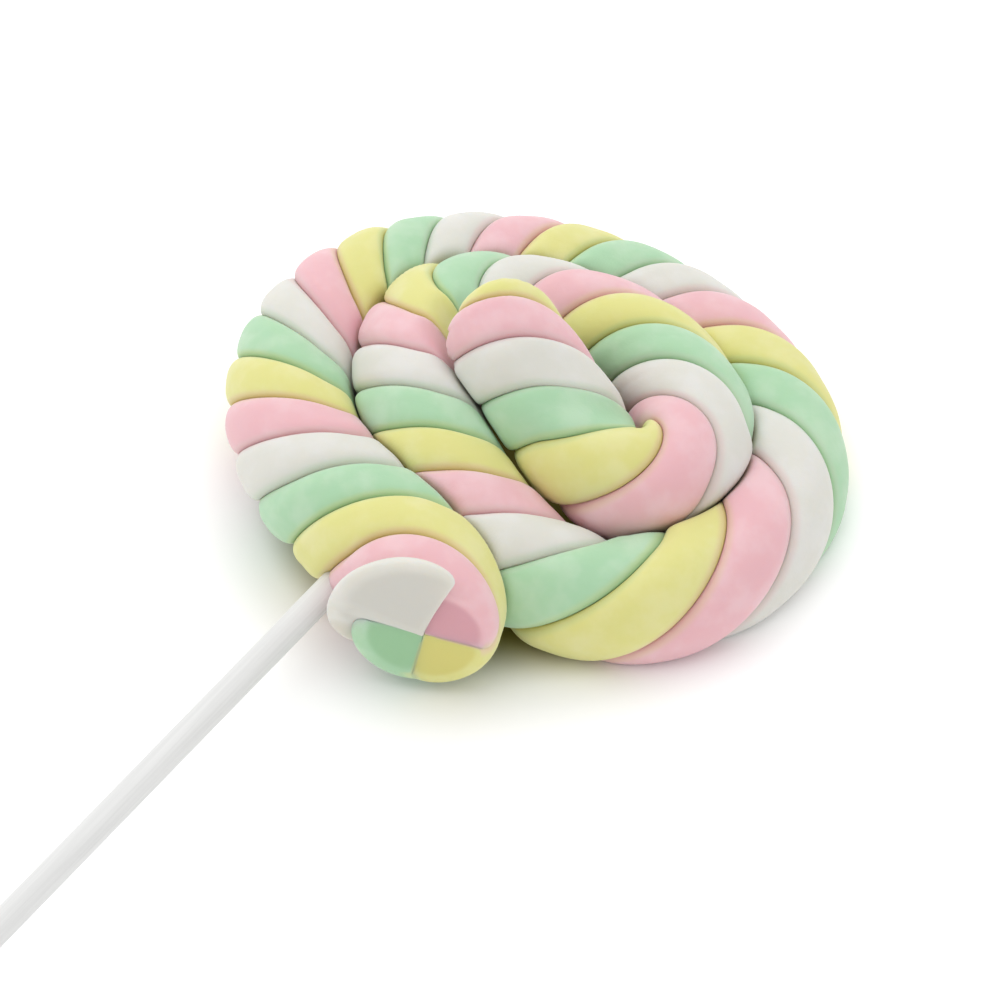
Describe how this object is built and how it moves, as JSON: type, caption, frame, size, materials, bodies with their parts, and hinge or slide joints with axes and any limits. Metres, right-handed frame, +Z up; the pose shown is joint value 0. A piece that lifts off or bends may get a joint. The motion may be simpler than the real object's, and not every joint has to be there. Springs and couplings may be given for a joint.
{
  "type": "marshmallow lollipop",
  "caption": "Marshmallow lollipop: soft pastel strands twisted into a rope that is coiled round a raised middle, on a straight round stick.",
  "frame": {"origin": "on the table, under the middle of the whole lollipop's box", "axes": "+Z up from the table through the shown side of the coil; the stick runs along Y, with its free end towards -Y"},
  "size_m": [0.0978, 0.1958, 0.0363],
  "materials": {
    "white_marshmallow": "soft, powdery and matt",
    "pink_marshmallow": "soft, powdery and matt",
    "yellow_marshmallow": "soft, powdery and matt",
    "green_marshmallow": "soft, powdery and matt",
    "white_stick": "smooth, half matt"
  },
  "bodies": {
    "root": {"strand_white": "white_marshmallow", "strand_pink": "pink_marshmallow", "strand_yellow": "yellow_marshmallow", "strand_green": "green_marshmallow", "stick": "white_stick"}
  },
  "joints": []
}
